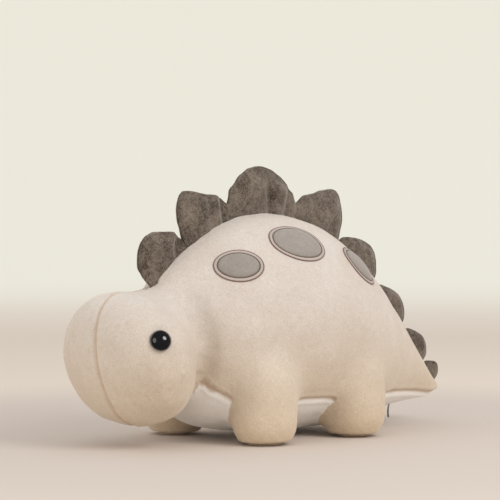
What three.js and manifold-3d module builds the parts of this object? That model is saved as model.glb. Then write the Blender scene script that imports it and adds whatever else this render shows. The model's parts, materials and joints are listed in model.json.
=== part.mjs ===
// Stuffed stegosaurus, millimetres, +Z up. The head points along -Y and the tail along +Y.
// +X is the animal's left side. Lengths along Y are given from the middle of the four legs, and
// the finished model is then moved so that its origin is on the floor under the middle of its box.
import * as THREE from "three";
import { mergeVertices } from "three/addons/utils/BufferGeometryUtils.js";
import Module from "manifold-3d";

const wasm = await Module();
wasm.setup();

// ---- cloth and clearances ----
const seamGap = 0.3; // between pieces that touch
const jointGap = 0.8; // round what turns
const clothThickness = 2; // plush with its pile
const reach = 400; // size of a cutting block, past the whole animal
const weld = 1e-4; // corners closer than this are one

// ---- torso and tail, one long outline ----
const bodyFront = -98; // tip of the nape, along Y
const bodyLength = 274; // nape to tail tip
const bodyWidth = 132;
const bodyHeight = 148; // belly to ridge
const bellyClearance = 3; // belly above the floor
const lowerFullness = 0.1; // how much wider the section is below its middle

// Sections from the nape to the tail tip: place along the length, ridge and belly as shares of
// the body height, and half width as a share of the body width.
const bodySections = [
  { along: 0.0, ridge: 0.67, belly: 0.62, half: 0.05 },
  { along: 0.045, ridge: 0.745, belly: 0.24, half: 0.23 },
  { along: 0.12, ridge: 0.85, belly: 0.06, half: 0.375 },
  { along: 0.23, ridge: 0.96, belly: 0.012, half: 0.475 },
  { along: 0.36, ridge: 1.0, belly: 0.0, half: 0.5 },
  { along: 0.49, ridge: 0.955, belly: 0.0, half: 0.475 },
  { along: 0.61, ridge: 0.83, belly: 0.02, half: 0.395 },
  { along: 0.72, ridge: 0.66, belly: 0.055, half: 0.285 },
  { along: 0.82, ridge: 0.475, belly: 0.08, half: 0.18 },
  { along: 0.905, ridge: 0.31, belly: 0.09, half: 0.105 },
  { along: 0.97, ridge: 0.195, belly: 0.1, half: 0.05 },
  { along: 1.0, ridge: 0.155, belly: 0.125, half: 0.02 },
];
const bodySteps = 20; // sections cut along the length
const bodySides = 20; // points round one section
const bellySeamAngle = THREE.MathUtils.degToRad(42); // below the widest line
const thinnestFilled = 1.5; // half height, past the cloth, where the stuffing stops

// ---- head ----
const headPivot = new THREE.Vector3(0, -100, 62);
const headBack = 38; // radius of the part that turns in the neck
const muzzleAhead = 16; // pivot to the widest line of the muzzle
const muzzleFront = 30; // from there to the tip of the snout
const muzzleRear = 31; // from there back into the neck
const muzzleHalfWidth = 50.5;
const muzzleHalfHeight = 44;
const muzzleBluntness = 2.6; // 2 is round, more is squarer seen from above
const chinBluntness = 2.5; // the same below the middle, seen from the side
const headTurn = THREE.MathUtils.degToRad(3); // stuffed looking a little to its left
const headTilt = THREE.MathUtils.degToRad(20); // and down
const faceSeamTurn = 7; // degrees from straight ahead, towards its left
const headSides = 18;
const neckOpening = 20; // behind the pivot, where the face panels end
const neckPlay = 2; // head to neck
const neckWall = 4;

// ---- eyes ----
const eyeDiameter = 12;
const eyeHeight = 4.6;
const eyePostDiameter = 4;
const eyePostLength = 9;
const eyeAround = { // about the muzzle, from straight ahead
  left: THREE.MathUtils.degToRad(81),
  right: THREE.MathUtils.degToRad(88),
};
const eyeUp = THREE.MathUtils.degToRad(19);
const eyeSink = 1.2; // flange below the pile
const washerDiameter = 15;
const washerThickness = 2;
const washerSeat = 2.4; // past the cloth, where the washer grips
const eyeSides = 14;

// ---- legs ----
const legSpread = 92; // left to right, between the leg centres
const legBase = 80; // front to rear, between the leg centres
const legPivotHeight = 36;
const legHipRadius = 23;
const legRadius = 21.5;
const legRound = 9; // round edge above the sole
const soleRadius = 13.5;
const soleThickness = 2;
const legSwing = THREE.MathUtils.degToRad(12); // each way
const legPlay = 1.4; // round the hip and the column
const legSides = 14;

// ---- tail ----
const tailPivotY = 112;
const tailJointMargin = 2; // past the section's own radius

// ---- plates, nape to tail: ends along Y, height, flare of the sides, lean of the peak,
// width of the crown as a share of the length, thickness ----
const plates = [
  { from: -97, to: -70, tall: 25, flare: 2, lean: -2, crown: 0.6, thick: 13 },
  { from: -67.5, to: -29, tall: 33, flare: -1, lean: -8, crown: 0.34, thick: 14 },
  { from: -27.5, to: 24.5, tall: 34, flare: 3, lean: -2, crown: 0.6, thick: 15 },
  { from: 26.5, to: 66, tall: 36, flare: -0.5, lean: 5, crown: 0.42, thick: 14 },
  { from: 69, to: 100, tall: 23, flare: 1, lean: 3, crown: 0.58, thick: 13 },
  { from: 105, to: 131, tall: 17, flare: 0.5, lean: 3, crown: 0.52, thick: 11 },
  { from: 136, to: 156, tall: 14, flare: 0.5, lean: 2, crown: 0.52, thick: 10 },
  { from: 159, to: 171, tall: 10, flare: 0.5, lean: 1, crown: 0.5, thick: 8 },
];
const plateRise = 2; // base edge above the ridge
const plateBaseShare = 0.45; // base thickness as a share of the thickest
const plateCloth = 1.2;
const plateWaist = 0.4; // share of the height where a plate is widest
const plateShoulder = 0.84; // share of the height where the crown starts
const plateSteps = 10; // points along one outline
const plateRings = [1, 0.7]; // outline shares from the rim inwards

// ---- spots on each side: centre along Y and up, half length, half height, tilt ----
const spots = [
  { name: "front", y: -55, z: 115, long: 11.6, high: 8.9, tilt: -0.5 },
  { name: "middle", y: -7, z: 130, long: 18.6, high: 12.8, tilt: 0 },
  { name: "rear", y: 51.5, z: 115, long: 13.4, high: 10.4, tilt: -0.4 },
];
const spotThickness = 2;
const ringWidth = 2;
const ringThickness = 1.4;
const spotDepth = 30; // how far the outline reaches through the side
const spotSides = 14;

// ---- tag ----
const tagAlong = 0.792; // share of the body length
const tagAside = 4; // to the left of the middle
const tagGap = 0.4; // below the tail
const tagWidth = 10;
const tagLength = 9;
const tagThickness = 0.8;
const tagTurn = THREE.MathUtils.degToRad(-42);

// ---- colours ----
const plush = new THREE.MeshStandardMaterial({ color: 0xd3bfa8, roughness: 0.95, metalness: 0 });
const cream = new THREE.MeshStandardMaterial({ color: 0xe9e2d4, roughness: 0.95, metalness: 0 });
const taupe = new THREE.MeshStandardMaterial({ color: 0x80766b, roughness: 0.95, metalness: 0 });
const spotCloth = new THREE.MeshStandardMaterial({ color: 0x9a9186, roughness: 0.95, metalness: 0 });
const thread = new THREE.MeshStandardMaterial({ color: 0x7d6a5c, roughness: 0.6, metalness: 0 });
const stuffing = new THREE.MeshStandardMaterial({ color: 0xf4f3ef, roughness: 1, metalness: 0 });
const eyePlastic = new THREE.MeshStandardMaterial({ color: 0x0b0c10, roughness: 0.08, metalness: 0 });
const washerPlastic = new THREE.MeshStandardMaterial({ color: 0xe6e6e2, roughness: 0.5, metalness: 0 });
const tagCloth = new THREE.MeshStandardMaterial({ color: 0x55524f, roughness: 0.8, metalness: 0 });

const dinosaur = new THREE.Group();

// ---- solids and meshes ----

// Points and faces as a geometry.
function geometryFrom(points, faces) {
  const geometry = new THREE.BufferGeometry();
  const places = points.flatMap((p) => p.toArray());
  geometry.setAttribute("position", new THREE.Float32BufferAttribute(places, 3));
  geometry.setIndex(faces);
  return geometry;
}

// A closed geometry as a solid that can be cut and joined.
function solidOf(geometry) {
  const bare = new THREE.BufferGeometry();
  bare.setAttribute("position", geometry.getAttribute("position"));
  bare.setIndex(geometry.index);
  const merged = mergeVertices(bare, weld);
  const mesh = new wasm.Mesh({
    numProp: 3,
    vertProperties: new Float32Array(merged.getAttribute("position").array),
    triVerts: new Uint32Array(merged.index.array),
  });
  return new wasm.Manifold(mesh);
}

function geometryOf(solid) {
  const mesh = solid.getMesh();
  const geometry = new THREE.BufferGeometry();
  geometry.setAttribute("position", new THREE.BufferAttribute(mesh.vertProperties, 3));
  geometry.setIndex(new THREE.BufferAttribute(mesh.triVerts, 1));
  return geometry.toNonIndexed();
}

function addPiece(name, solid, material, parent = dinosaur) {
  const geometry = geometryOf(solid);
  geometry.computeVertexNormals();
  const mesh = new THREE.Mesh(geometry, material);
  mesh.name = name;
  parent.add(mesh);
}

// Rings of equal length, joined one to the next and closed by a point at each end.
function loft(rings, firstTip, lastTip) {
  const sides = rings[0].length;
  const points = [...rings.flat(), firstTip, lastTip];
  const first = rings.length * sides;
  const last = first + 1;
  const faces = [];
  for (let side = 0; side < sides; side += 1) {
    const next = (side + 1) % sides;
    faces.push(first, side, next);
    for (let ring = 0; ring < rings.length - 1; ring += 1) {
      const here = ring * sides;
      const ahead = here + sides;
      faces.push(here + side, ahead + side, here + next);
      faces.push(here + next, ahead + side, ahead + next);
    }
    const end = (rings.length - 1) * sides;
    faces.push(last, end + next, end + side);
  }
  return geometryFrom(points, faces);
}

function ball(centre, radius, sides) {
  const geometry = new THREE.SphereGeometry(radius, sides, sides / 2);
  geometry.rotateX(Math.PI / 2);
  geometry.translate(centre.x, centre.y, centre.z);
  return solidOf(geometry);
}

// A block that fills everything past a plane across one axis.
function blockPast(axis, place, sign) {
  const geometry = new THREE.BoxGeometry(reach, reach, reach);
  const centre = new THREE.Vector3();
  centre.setComponent(axis, place + (sign * reach) / 2);
  geometry.translate(centre.x, centre.y, centre.z);
  return solidOf(geometry);
}

function solidUnion(solids) {
  return solids.reduce((all, one) => all.add(one));
}

// ---- body outline ----
const floorOfBody = bellyClearance;
const outlineCurve = new THREE.CatmullRomCurve3(
  bodySections.map((s) => new THREE.Vector3(s.along, s.ridge, s.belly)),
  false,
  "catmullrom",
);
const widthCurve = new THREE.CatmullRomCurve3(
  bodySections.map((s) => new THREE.Vector3(s.along, s.half, 0)),
  false,
  "catmullrom",
);

// The section at a share of the way through the list of sections.
function sectionAt(share) {
  const outline = outlineCurve.getPoint(share);
  const ridge = floorOfBody + outline.y * bodyHeight;
  const belly = floorOfBody + outline.z * bodyHeight;
  return {
    y: bodyFront + outline.x * bodyLength,
    half: widthCurve.getPoint(share).y * bodyWidth,
    middle: (ridge + belly) / 2,
    high: (ridge - belly) / 2,
    ridge,
  };
}

const sections = Array.from({ length: bodySteps + 1 }, (_, step) => sectionAt(step / bodySteps));

// The section at a place along Y, between its two nearest neighbours.
function sectionAtY(y) {
  const after = sections.findIndex((s) => s.y >= y);
  const b = sections[Math.max(after, 1)];
  const a = sections[Math.max(after, 1) - 1];
  const share = (y - a.y) / (b.y - a.y);
  const between = (key) => THREE.MathUtils.lerp(a[key], b[key], share);
  return {
    y,
    half: between("half"),
    middle: between("middle"),
    high: between("high"),
    ridge: between("ridge"),
  };
}

function sectionRing(section, outward) {
  return Array.from({ length: bodySides }, (_, side) => {
    const angle = (side / bodySides) * 2 * Math.PI;
    const fullness = 1 - lowerFullness * Math.sin(angle);
    const x = (section.half + outward) * Math.cos(angle) * fullness;
    const z = section.middle + (section.high + outward) * Math.sin(angle);
    return new THREE.Vector3(x, section.y, z);
  });
}

// The whole body, grown outwards, or shrunk when the distance is negative.
function bodySolid(outward) {
  const thinnest = outward < 0 ? thinnestFilled : 0;
  const kept = sections.filter((s) => Math.min(s.high, s.half) + outward > thinnest);
  const first = kept[0];
  const last = kept[kept.length - 1];
  const rings = kept.map((s) => sectionRing(s, outward));
  const tip = (s, sign) => new THREE.Vector3(0, s.y + sign * Math.max(outward, seamGap), s.middle);
  return solidOf(loft(rings, tip(first, -1), tip(last, 1)));
}

// Everything below the line where the side panels meet the belly panel.
function underSeam(drop) {
  const seamHeight = (s) => s.middle - s.high * Math.sin(bellySeamAngle) - drop;
  const rings = sections.map((s) => [
    new THREE.Vector3(reach / 2, s.y, seamHeight(s)),
    new THREE.Vector3(-reach / 2, s.y, seamHeight(s)),
    new THREE.Vector3(-reach / 2, s.y, -reach / 2),
    new THREE.Vector3(reach / 2, s.y, -reach / 2),
  ]);
  const far = (s, sign) => rings[sections.indexOf(s)].map((p) => p.clone().setY(s.y + sign * bodyWidth));
  const first = sections[0];
  const last = sections[sections.length - 1];
  const all = [far(first, -1), ...rings, far(last, 1)];
  const tip = (s, sign) => new THREE.Vector3(0, s.y + sign * bodyWidth, -bodyHeight);
  return solidOf(loft(all, tip(first, -1), tip(last, 1)));
}

const bodyOuter = bodySolid(0);
const bodyCloth = bodyOuter.subtract(bodySolid(-clothThickness));
const bodyFilling = bodySolid(-clothThickness - seamGap);
const leftSide = blockPast(0, seamGap / 2, 1);
const rightSide = blockPast(0, -seamGap / 2, -1);
const belowSeam = underSeam(seamGap);
const aboveSeam = underSeam(0);

// ---- tail: cut from the body on a ball about its pivot ----
const tailSection = sectionAtY(tailPivotY);
const tailPivot = new THREE.Vector3(0, tailPivotY, tailSection.middle);
const tailBall = Math.max(tailSection.half * (1 + lowerFullness), tailSection.high) + tailJointMargin;
const behindTailPivot = blockPast(1, tailPivotY, 1);
const tailRegion = ball(tailPivot, tailBall, bodySides).add(behindTailPivot);
const tailRoom = ball(tailPivot, tailBall + jointGap, bodySides).add(behindTailPivot);

function addTail() {
  const cloth = bodyCloth.intersect(tailRegion);
  addPiece("tail_left_panel", cloth.subtract(aboveSeam).intersect(leftSide), plush);
  addPiece("tail_right_panel", cloth.subtract(aboveSeam).intersect(rightSide), plush);
  addPiece("tail_underside", cloth.intersect(belowSeam), cream);
  addPiece("tail_stuffing", bodyFilling.intersect(tailRegion), stuffing);
}

// ---- legs ----

// A leg grown outwards: a ball at the hip, a plump column and a round edge down to the sole.
function legGeometry(outward) {
  const hip = legHipRadius + outward;
  const column = legRadius + outward;
  const foot = soleRadius + outward;
  const join = Math.asin(column / hip);
  const profile = [];
  const hipSteps = 6;
  for (let step = 0; step <= hipSteps; step += 1) {
    const angle = (step / hipSteps) * (Math.PI - join);
    profile.push(new THREE.Vector2(hip * Math.sin(angle), legPivotHeight + hip * Math.cos(angle)));
  }
  const roundSteps = 3;
  for (let step = 0; step <= roundSteps; step += 1) {
    const angle = (step / roundSteps) * (Math.PI / 2);
    const across = foot + (column - foot) * Math.cos(angle);
    profile.push(new THREE.Vector2(across, legRound * (1 - Math.sin(angle)) - outward));
  }
  profile.push(new THREE.Vector2(0, -outward));
  profile[0].x = 0;
  const geometry = new THREE.LatheGeometry(profile.reverse(), legSides);
  geometry.rotateX(Math.PI / 2);
  return geometry;
}

const legs = [-1, 1].flatMap((end) =>
  [1, -1].map((side) => ({
    name: `${end < 0 ? "front" : "rear"}_${side > 0 ? "left" : "right"}`,
    x: (side * legSpread) / 2,
    y: (end * legBase) / 2,
  })),
);

// The leg at its place, swung about the hip.
function legSolid(leg, outward, swing) {
  const geometry = legGeometry(outward);
  geometry.translate(0, 0, -legPivotHeight);
  geometry.rotateX(swing);
  geometry.translate(leg.x, leg.y, legPivotHeight);
  return solidOf(geometry);
}

// The room a leg needs: a ball round the hip and the column at rest and at both ends of its swing.
function legRoomSolid(leg) {
  const hip = ball(new THREE.Vector3(leg.x, leg.y, legPivotHeight), legHipRadius + legPlay, legSides);
  const columns = [-legSwing, 0, legSwing].map((swing) => {
    const radius = legRadius + legPlay;
    const length = legPivotHeight + legPlay;
    const geometry = new THREE.CylinderGeometry(radius, radius, length, legSides);
    geometry.rotateX(Math.PI / 2);
    geometry.translate(0, 0, -length / 2);
    geometry.rotateX(swing);
    geometry.translate(leg.x, leg.y, legPivotHeight);
    return solidOf(geometry);
  });
  return solidUnion([hip, ...columns]);
}

const legRoom = solidUnion(legs.map(legRoomSolid));

function addLeg(leg) {
  const disc = (radius, bottom, top) => {
    const geometry = new THREE.CylinderGeometry(radius, radius, top - bottom, legSides);
    geometry.rotateX(Math.PI / 2);
    geometry.translate(leg.x, leg.y, (top + bottom) / 2);
    return solidOf(geometry);
  };
  const soleTop = soleThickness + seamGap;
  const outer = legSolid(leg, 0, 0);
  const inner = legSolid(leg, -clothThickness, 0);
  const sleeve = outer
    .subtract(inner)
    .subtract(disc(soleRadius - seamGap, -clothThickness, soleTop))
    .subtract(bodyOuter);
  const filling = legSolid(leg, -clothThickness - seamGap, 0).intersect(blockPast(2, soleTop, 1));
  addPiece(`leg_${leg.name}_sleeve`, sleeve, plush);
  addPiece(`leg_${leg.name}_sole`, disc(soleRadius - 2 * seamGap, 0, soleThickness), plush);
  addPiece(`leg_${leg.name}_stuffing`, filling, stuffing);
}

// ---- torso ----
const neckInner = headBack + neckPlay;
const neckOuter = neckInner + neckWall;
const headRoom = ball(headPivot, neckOuter + jointGap, bodySides);
const headSweep = ball(headPivot, headBack + jointGap, bodySides);

function addTorso() {
  const cloth = bodyCloth.subtract(tailRoom).subtract(legRoom).subtract(headRoom);
  const filling = bodyFilling.subtract(tailRoom).subtract(legRoom).subtract(headRoom);
  const collar = ball(headPivot, neckOuter, bodySides).subtract(ball(headPivot, neckInner, bodySides));
  const neck = bodyFilling.intersect(collar).subtract(legRoom);
  addPiece("torso_left_panel", cloth.subtract(aboveSeam).intersect(leftSide), plush);
  addPiece("torso_right_panel", cloth.subtract(aboveSeam).intersect(rightSide), plush);
  addPiece("belly_panel", cloth.intersect(belowSeam), cream);
  addPiece("torso_stuffing", filling, stuffing);
  addPiece("neck_stuffing", neck, stuffing);
}

// ---- head ----

// The muzzle's surface in the direction given from the middle of its widest line, not yet turned.
function muzzlePoint(direction, outward) {
  const along = (direction.y < 0 ? muzzleFront : muzzleRear) + outward;
  const across = muzzleHalfWidth + outward;
  const power = direction.y < 0 ? muzzleBluntness : 2;
  const flat = Math.abs(direction.x / across) ** power + Math.abs(direction.y / along) ** power;
  const upright = direction.z < 0 ? chinBluntness : 2;
  const level = flat ** (upright / power);
  const rise = Math.abs(direction.z / (muzzleHalfHeight + outward)) ** upright;
  return direction.clone().divideScalar((level + rise) ** (1 / upright));
}

function headSolid(outward) {
  const geometry = new THREE.SphereGeometry(1, headSides, headSides / 2);
  geometry.rotateX(Math.PI / 2);
  const place = geometry.getAttribute("position");
  const direction = new THREE.Vector3();
  for (let index = 0; index < place.count; index += 1) {
    direction.fromBufferAttribute(place, index);
    const moved = muzzlePoint(direction, outward);
    place.setXYZ(index, moved.x, moved.y - muzzleAhead, moved.z);
  }
  const back = ball(new THREE.Vector3(), headBack + outward, headSides);
  return solidOf(geometry).add(back.intersect(blockPast(1, -muzzleAhead, 1)));
}

// A round post or disc through the cheek, from one depth to another below the eye's seat.
function alongEye(side, radius, from, to) {
  const geometry = new THREE.CylinderGeometry(radius, radius, to - from, eyeSides);
  geometry.translate(0, -(from + to) / 2, 0);
  return solidOf(placeAtEye(geometry, side));
}

function placeAtEye(geometry, side) {
  const around = eyeAround[side > 0 ? "left" : "right"];
  const direction = new THREE.Vector3(
    side * Math.sin(around) * Math.cos(eyeUp),
    -Math.cos(around) * Math.cos(eyeUp),
    Math.sin(eyeUp),
  );
  const seat = muzzlePoint(direction, -eyeSink);
  const slope = (value, size) => Math.sign(value) * Math.abs(value / size) ** (muzzleBluntness - 1) / size;
  const outwards = new THREE.Vector3(
    slope(seat.x, muzzleHalfWidth),
    slope(seat.y, muzzleFront),
    seat.z / muzzleHalfHeight ** 2,
  ).normalize();
  const turn = new THREE.Quaternion().setFromUnitVectors(new THREE.Vector3(0, 1, 0), outwards);
  geometry.applyQuaternion(turn);
  geometry.translate(seat.x, seat.y - muzzleAhead, seat.z);
  return geometry;
}

function eyeSolid(side) {
  const radius = eyeDiameter / 2;
  const domeSteps = 6;
  const post = eyePostDiameter / 2;
  const profile = [
    new THREE.Vector2(0, -eyePostLength),
    new THREE.Vector2(post, -eyePostLength),
    new THREE.Vector2(post, 0),
  ];
  for (let step = 0; step <= domeSteps; step += 1) {
    const angle = (step / domeSteps) * (Math.PI / 2);
    profile.push(new THREE.Vector2(radius * Math.cos(angle), eyeHeight * Math.sin(angle)));
  }
  profile[profile.length - 1].x = 0;
  return solidOf(placeAtEye(new THREE.LatheGeometry(profile, eyeSides), side));
}

function addHead() {
  const head = new THREE.Group();
  head.position.copy(headPivot);
  head.rotation.set(headTilt, 0, headTurn, "ZXY");
  const sides = [
    { name: "left", sign: 1 },
    { name: "right", sign: -1 },
  ];
  const postHole = eyePostDiameter / 2 + seamGap;
  const washerDepth = clothThickness + washerSeat;
  const seat = eyeDiameter / 2 + seamGap;
  const pocket = washerDiameter / 2 + seamGap;
  const postEnd = eyePostLength + seamGap;
  const bothSides = (radius, from, to) => solidUnion(sides.map((s) => alongEye(s.sign, radius, from, to)));
  const holes = bothSides(postHole, -seamGap, postEnd);
  const seats = bothSides(seat, -eyeHeight, seamGap);
  const pockets = bothSides(pocket, 0, postEnd);
  const cloth = headSolid(0)
    .subtract(headSolid(-clothThickness))
    .subtract(blockPast(1, neckOpening, 1))
    .subtract(holes)
    .subtract(seats);
  addPiece("head_left_panel", cloth.intersect(leftSide.rotate([0, 0, faceSeamTurn])), plush, head);
  addPiece("head_right_panel", cloth.intersect(rightSide.rotate([0, 0, faceSeamTurn])), plush, head);
  addPiece("head_stuffing", headSolid(-clothThickness - seamGap).subtract(pockets), stuffing, head);
  for (const side of sides) {
    const washer = alongEye(side.sign, washerDiameter / 2, washerDepth, washerDepth + washerThickness);
    addPiece(`eye_${side.name}`, eyeSolid(side.sign), eyePlastic, head);
    addPiece(`eye_washer_${side.name}`, washer.subtract(holes), washerPlastic, head);
  }
  dinosaur.add(head);
}

// ---- plates ----

// A plate's own frame: its foot on the ridge, along the ridge and out from it.
function plateFrame(plate) {
  const a = sectionAtY(plate.from);
  const b = sectionAtY(plate.to);
  const along = new THREE.Vector3(0, b.y - a.y, b.ridge - a.ridge).normalize();
  const out = new THREE.Vector3(0, -along.z, along.y);
  const middle = new THREE.Vector3(0, (a.y + b.y) / 2, (a.ridge + b.ridge) / 2);
  return { along, out, middle, half: Math.hypot(b.y - a.y, b.ridge - a.ridge) / 2 };
}

// How far the ridge stands above the straight line between the plate's ends.
function ridgeAbove(frame, along) {
  const y = frame.middle.y + along * frame.along.y;
  const ridge = new THREE.Vector3(0, y, sectionAtY(y).ridge);
  return ridge.sub(frame.middle).dot(frame.out);
}

// Half a cushion on edge: a fan of rings about the middle of its base, mirrored through X = 0.
function plateSolid(plate, inset, rim, drop) {
  const frame = plateFrame(plate);
  const half = frame.half - inset;
  const tall = plate.tall - inset;
  const wide = half + plate.flare;
  const waist = tall * plateWaist;
  const shoulder = half * plate.crown;
  const outline = new THREE.SplineCurve([
    new THREE.Vector2(half, 0),
    new THREE.Vector2(wide, waist),
    new THREE.Vector2(shoulder + plate.lean, tall * plateShoulder),
    new THREE.Vector2(plate.lean, tall),
    new THREE.Vector2(-shoulder + plate.lean, tall * plateShoulder),
    new THREE.Vector2(-wide, waist),
    new THREE.Vector2(-half, 0),
  ]).getPoints(plateSteps);
  const thickest = plate.thick / 2 - inset;
  const points = [];
  const place = (flat, side, share) => {
    const up = Math.max(flat.y, 0);
    const risen = Math.min(1, up / waist);
    const fill = Math.sqrt(1 - share ** 2) * THREE.MathUtils.lerp(plateBaseShare, 1, risen);
    const x = side * (rim + (thickest - rim) * fill);
    const base = ridgeAbove(frame, flat.x) * (1 - up / tall) + plateRise - (up === 0 ? drop : 0);
    const point = frame.middle.clone().addScaledVector(frame.along, flat.x);
    points.push(point.addScaledVector(frame.out, up + base).setX(x));
  };
  const count = outline.length;
  for (const side of [1, -1]) {
    for (const share of plateRings) {
      for (const flat of outline) {
        place(flat.clone().multiplyScalar(share), side, share);
      }
    }
    place(new THREE.Vector2(0, 0), side, 0);
  }
  const perSide = plateRings.length * count + 1;
  const faces = [];
  const quad = (a, b, c, d) => faces.push(a, b, c, a, c, d);
  const bothSides = (a, b, c, d) => {
    quad(a, b, c, d);
    quad(a + perSide, d + perSide, c + perSide, b + perSide);
  };
  for (let ring = 0; ring < plateRings.length - 1; ring += 1) {
    for (let step = 0; step < count - 1; step += 1) {
      const here = ring * count + step;
      bothSides(here, here + 1, here + 1 + count, here + count);
    }
  }
  const inner = (plateRings.length - 1) * count;
  const centre = perSide - 1;
  for (let step = 0; step < count - 1; step += 1) {
    faces.push(inner + step, inner + step + 1, centre);
    faces.push(inner + step + perSide, centre + perSide, inner + step + 1 + perSide);
    quad(step, step + perSide, step + 1 + perSide, step + 1);
  }
  const rearBase = [...plateRings.keys()].map((ring) => ring * count);
  const frontBase = rearBase.map((start) => start + count - 1);
  const line = [...rearBase, centre, ...frontBase.reverse()];
  for (let step = 0; step < line.length - 1; step += 1) {
    quad(line[step], line[step + 1], line[step + 1] + perSide, line[step] + perSide);
  }
  return solidOf(geometryFrom(points, faces));
}

function addPlate(plate, number) {
  const outer = plateSolid(plate, 0, plateCloth, 0);
  const hollow = plateSolid(plate, plateCloth, seamGap, 2 * plateCloth);
  const fill = plateSolid(plate, plateCloth + seamGap, seamGap / 3, 0);
  addPiece(`plate_${number}_cover`, outer.subtract(hollow).subtract(headSweep), taupe);
  addPiece(`plate_${number}_fill`, fill.subtract(headSweep), stuffing);
}

// ---- spots ----

// The room an oval patch cuts straight into the side, along its own outward direction.
function ovalRoom(spot, side, grow) {
  const section = sectionAtY(spot.y);
  const sine = (spot.z - section.middle) / section.high;
  const cosine = Math.sqrt(1 - sine ** 2);
  const seat = new THREE.Vector3(side * section.half * cosine * (1 - lowerFullness * sine), spot.y, spot.z);
  const outwards = new THREE.Vector3((side * cosine) / section.half, 0, sine / section.high).normalize();
  const forwards = new THREE.Vector3(0, -Math.cos(spot.tilt), 0);
  const upwards = new THREE.Vector3().crossVectors(outwards, forwards).multiplyScalar(side);
  forwards.addScaledVector(upwards.normalize(), Math.sin(spot.tilt)).normalize();
  const across = new THREE.Vector3().crossVectors(forwards, outwards);
  const geometry = new THREE.CylinderGeometry(1, 1, spotDepth, spotSides);
  geometry.scale(spot.long + grow, 1, spot.high + grow);
  geometry.applyMatrix4(new THREE.Matrix4().makeBasis(forwards, outwards, across));
  geometry.translate(seat.x, seat.y, seat.z);
  return solidOf(geometry);
}

function addSpots() {
  const patchLayer = bodySolid(seamGap + spotThickness).subtract(bodySolid(seamGap));
  const ringLayer = bodySolid(seamGap + ringThickness).subtract(bodySolid(seamGap));
  for (const spot of spots) {
    for (const side of [1, -1]) {
      const name = `${spot.name}_${side > 0 ? "left" : "right"}`;
      const ring = ovalRoom(spot, side, ringWidth).subtract(ovalRoom(spot, side, seamGap));
      addPiece(`spot_${name}`, patchLayer.intersect(ovalRoom(spot, side, 0)), spotCloth);
      addPiece(`spot_border_${name}`, ringLayer.intersect(ring), thread);
    }
  }
}

// ---- tag ----
function addTag() {
  const y = bodyFront + tagAlong * bodyLength;
  const aside = (tagWidth / 2) * Math.abs(Math.sin(tagTurn));
  const ends = [sectionAtY(y - aside), sectionAtY(y + aside)];
  const top = Math.min(...ends.map((s) => s.middle - s.high)) - tagGap;
  const geometry = new THREE.BoxGeometry(tagWidth, tagThickness, tagLength);
  geometry.rotateZ(tagTurn);
  geometry.translate(tagAside, y, top - tagLength / 2);
  addPiece("tag", solidOf(geometry), tagCloth);
}

addTorso();
addTail();
legs.forEach(addLeg);
addHead();
plates.forEach((plate, index) => addPlate(plate, index + 1));
addSpots();
addTag();

const box = new THREE.Box3().setFromObject(dinosaur, true);
dinosaur.position.y = -box.getCenter(new THREE.Vector3()).y;

export default dinosaur;
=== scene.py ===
import bpy
import json
import math

import numpy as np
from mathutils import Matrix, Vector, noise
from mathutils.bvhtree import BVHTree

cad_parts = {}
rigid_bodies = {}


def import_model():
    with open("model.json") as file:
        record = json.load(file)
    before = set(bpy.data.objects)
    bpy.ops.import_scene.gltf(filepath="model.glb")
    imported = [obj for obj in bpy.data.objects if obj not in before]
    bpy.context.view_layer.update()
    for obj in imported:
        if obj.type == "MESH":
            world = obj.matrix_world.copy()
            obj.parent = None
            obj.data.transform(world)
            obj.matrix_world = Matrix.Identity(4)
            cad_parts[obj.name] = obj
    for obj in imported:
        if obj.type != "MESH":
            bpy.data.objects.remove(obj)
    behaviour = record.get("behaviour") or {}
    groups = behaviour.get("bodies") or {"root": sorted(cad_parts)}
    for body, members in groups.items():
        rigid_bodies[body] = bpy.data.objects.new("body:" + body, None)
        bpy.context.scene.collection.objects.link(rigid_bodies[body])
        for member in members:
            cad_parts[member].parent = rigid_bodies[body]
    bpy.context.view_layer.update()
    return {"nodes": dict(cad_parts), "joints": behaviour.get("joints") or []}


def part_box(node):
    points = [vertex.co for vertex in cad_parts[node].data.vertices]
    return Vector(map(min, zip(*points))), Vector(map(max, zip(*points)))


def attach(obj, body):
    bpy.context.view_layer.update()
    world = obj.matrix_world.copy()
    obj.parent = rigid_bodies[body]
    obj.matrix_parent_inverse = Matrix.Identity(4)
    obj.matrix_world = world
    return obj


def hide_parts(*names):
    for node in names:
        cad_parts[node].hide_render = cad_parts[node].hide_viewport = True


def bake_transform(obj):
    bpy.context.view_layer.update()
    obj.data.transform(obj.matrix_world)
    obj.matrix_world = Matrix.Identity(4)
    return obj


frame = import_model()
nodes = frame["nodes"]
joints = {joint["name"]: joint for joint in frame["joints"]}
print("stage: frame loaded,", len(nodes), "nodes")


def selectOnly(*pieces):
    bpy.ops.object.select_all(action="DESELECT")
    for piece in pieces:
        piece.select_set(True)
    bpy.context.view_layer.objects.active = pieces[0]


def applyAll(piece):
    selectOnly(piece)
    for modifier in list(piece.modifiers):
        bpy.ops.object.modifier_apply(modifier=modifier.name)


def pointsOf(piece):
    flat = np.empty(len(piece.data.vertices) * 3)
    piece.data.vertices.foreach_get("co", flat)
    return flat.reshape(-1, 3)


def setPoints(piece, points):
    piece.data.vertices.foreach_set("co", points.ravel())
    piece.data.update()


def normalsOf(piece):
    flat = np.empty(len(piece.data.vertices) * 3)
    piece.data.vertices.foreach_get("normal", flat)
    return flat.reshape(-1, 3)


def setAttribute(piece, name, values):
    layer = piece.data.attributes.get(name) or piece.data.attributes.new(name, "FLOAT", "POINT")
    layer.data.foreach_set("value", np.asarray(values, np.float32))


def subdivide(piece, levels):
    modifier = piece.modifiers.new("Subdivision", "SUBSURF")
    modifier.levels = levels
    modifier.render_levels = levels
    applyAll(piece)


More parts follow.
